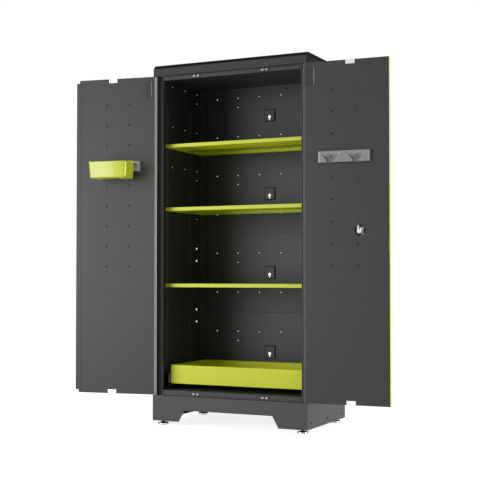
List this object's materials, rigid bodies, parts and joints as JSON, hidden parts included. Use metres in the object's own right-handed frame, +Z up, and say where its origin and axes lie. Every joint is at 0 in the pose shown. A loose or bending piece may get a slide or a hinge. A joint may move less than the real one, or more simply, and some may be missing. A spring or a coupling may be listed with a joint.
{
  "type": "steel garage cabinet",
  "caption": "Tall two-door steel storage cabinet on levelling feet, with adjustable shelves, a low drawer, door tool rails and a rod lock; doors stand open.",
  "frame": {"origin": "on the floor, at the bottom centre of the box round the cabinet with its doors open", "axes": "+Z up, +Y towards the back, so the doors open towards -Y; +X to the right of someone facing the doors"},
  "size_m": [1.6652, 0.7147, 1.829],
  "materials": {
    "charcoal_paint": "fine textured powder coat, satin",
    "lime_paint": "powder coat, semi-gloss",
    "lime_plastic": "moulded plastic, light grain",
    "grey_plastic": "moulded plastic, satin",
    "black_plastic": "moulded plastic, matt",
    "nylon": "natural nylon",
    "zinc": "bright zinc plate",
    "chrome": "polished chrome"
  },
  "bodies": {
    "carcass": {"back_panel_1": "charcoal_paint", "back_panel_2": "charcoal_paint", "back_panel_3": "charcoal_paint", "back_panel_4": "charcoal_paint", "base_front": "charcoal_paint", "base_rear": "charcoal_paint", "base_side_left": "charcoal_paint", "base_side_right": "charcoal_paint", "cap": "charcoal_paint", "ceiling_panel": "charcoal_paint", "floor_panel": "charcoal_paint", "magnet_bottom_left": "black_plastic", "magnet_bottom_right": "black_plastic", "magnet_top_left": "black_plastic", "magnet_top_right": "black_plastic", "shelf_lower": "lime_paint", "shelf_middle": "lime_paint", "shelf_top": "lime_paint", "side_panel_left": "charcoal_paint", "side_panel_right": "charcoal_paint", "slide_bracket_left": "charcoal_paint", "slide_bracket_right": "charcoal_paint", "slide_outer_left": "zinc", "slide_outer_right": "zinc", "upright_front_left": "charcoal_paint", "upright_front_right": "charcoal_paint", "upright_rear_left": "charcoal_paint", "upright_rear_right": "charcoal_paint"},
    "door_left": {"door_left_skin": "lime_paint", "door_left_inner": "charcoal_paint", "door_left_channel": "charcoal_paint", "hinge_cover_left": "charcoal_paint", "strike_top_left": "zinc", "strike_bottom_left": "zinc", "tool_rail_left": "grey_plastic"},
    "door_right": {"door_right_skin": "lime_paint", "door_right_inner": "charcoal_paint", "door_right_channel": "charcoal_paint", "hinge_cover_right": "charcoal_paint", "strike_top_right": "zinc", "strike_bottom_right": "zinc", "tool_rail_right": "grey_plastic", "lock_housing": "zinc", "rod_guide_upper": "nylon", "rod_guide_lower": "nylon"},
    "bin": {"bin": "lime_plastic"},
    "drawer": {"drawer": "lime_paint", "slide_inner_left": "zinc", "slide_inner_right": "zinc"},
    "slide_middle_left": {"slide_middle_left": "zinc"},
    "slide_middle_right": {"slide_middle_right": "zinc"},
    "lock": {"lock_handle": "black_plastic", "lock_cam": "zinc"},
    "key_plug": {"key_plug": "zinc"},
    "lock_rod_upper": {"lock_rod_upper": "zinc"},
    "lock_rod_lower": {"lock_rod_lower": "zinc"},
    "foot_front_left": {"foot_front_left": "chrome"},
    "foot_front_right": {"foot_front_right": "chrome"},
    "foot_rear_left": {"foot_rear_left": "chrome"},
    "foot_rear_right": {"foot_rear_right": "chrome"}
  },
  "joints": [
    {"name": "door_left_swing", "type": "hinge", "parent": "carcass", "child": "door_left", "pos_m": [-0.4106, -0.15492, 0], "axis": [0, 0, 1], "range_deg": [0, 171]},
    {"name": "door_right_swing", "type": "hinge", "parent": "carcass", "child": "door_right", "pos_m": [0.4198, -0.15492, 0], "axis": [0, 0, -1], "range_deg": [0, 183]},
    {"name": "bin_lift", "type": "slide", "parent": "door_left", "child": "bin", "axis": [0, 0, 1], "range_m": [0, 0.05]},
    {"name": "drawer_slide", "type": "slide", "parent": "carcass", "child": "drawer", "axis": [0, 1, 0], "range_m": [-0.35, 0]},
    {"name": "slide_left", "type": "slide", "parent": "carcass", "child": "slide_middle_left", "axis": [0, 1, 0], "range_m": [-0.175, 0]},
    {"name": "slide_right", "type": "slide", "parent": "carcass", "child": "slide_middle_right", "axis": [0, 1, 0], "range_m": [-0.175, 0]},
    {"name": "lock_turn", "type": "hinge", "parent": "door_right", "child": "lock", "pos_m": [0.68989, -0.13626, 0.966], "axis": [-0.0523, 0.9986, 0], "range_deg": [0, 90]},
    {"name": "key_turn", "type": "hinge", "parent": "lock", "child": "key_plug", "pos_m": [0.68989, -0.13626, 0.966], "axis": [-0.0523, 0.9986, 0], "range_deg": [0, 90]},
    {"name": "rod_upper_slide", "type": "slide", "parent": "door_right", "child": "lock_rod_upper", "axis": [0, 0, 1], "range_m": [0, 0.01838]},
    {"name": "rod_lower_slide", "type": "slide", "parent": "door_right", "child": "lock_rod_lower", "axis": [0, 0, -1], "range_m": [0, 0.01849]},
    {"name": "foot_front_left_adjust", "type": "slide", "parent": "carcass", "child": "foot_front_left", "axis": [0, 0, -1], "range_m": [0, 0.025]},
    {"name": "foot_front_right_adjust", "type": "slide", "parent": "carcass", "child": "foot_front_right", "axis": [0, 0, -1], "range_m": [0, 0.025]},
    {"name": "foot_rear_left_adjust", "type": "slide", "parent": "carcass", "child": "foot_rear_left", "axis": [0, 0, -1], "range_m": [0, 0.025]},
    {"name": "foot_rear_right_adjust", "type": "slide", "parent": "carcass", "child": "foot_rear_right", "axis": [0, 0, -1], "range_m": [0, 0.025]}
  ],
  "couplings": [
    {"joint": "slide_left", "follows": "drawer_slide", "ratio": 0.5},
    {"joint": "slide_right", "follows": "drawer_slide", "ratio": 0.5},
    {"joint": "lock_turn", "follows": "rod_upper_slide", "rad_per_m": 85.44},
    {"joint": "rod_lower_slide", "follows": "rod_upper_slide", "ratio": 1}
  ]
}
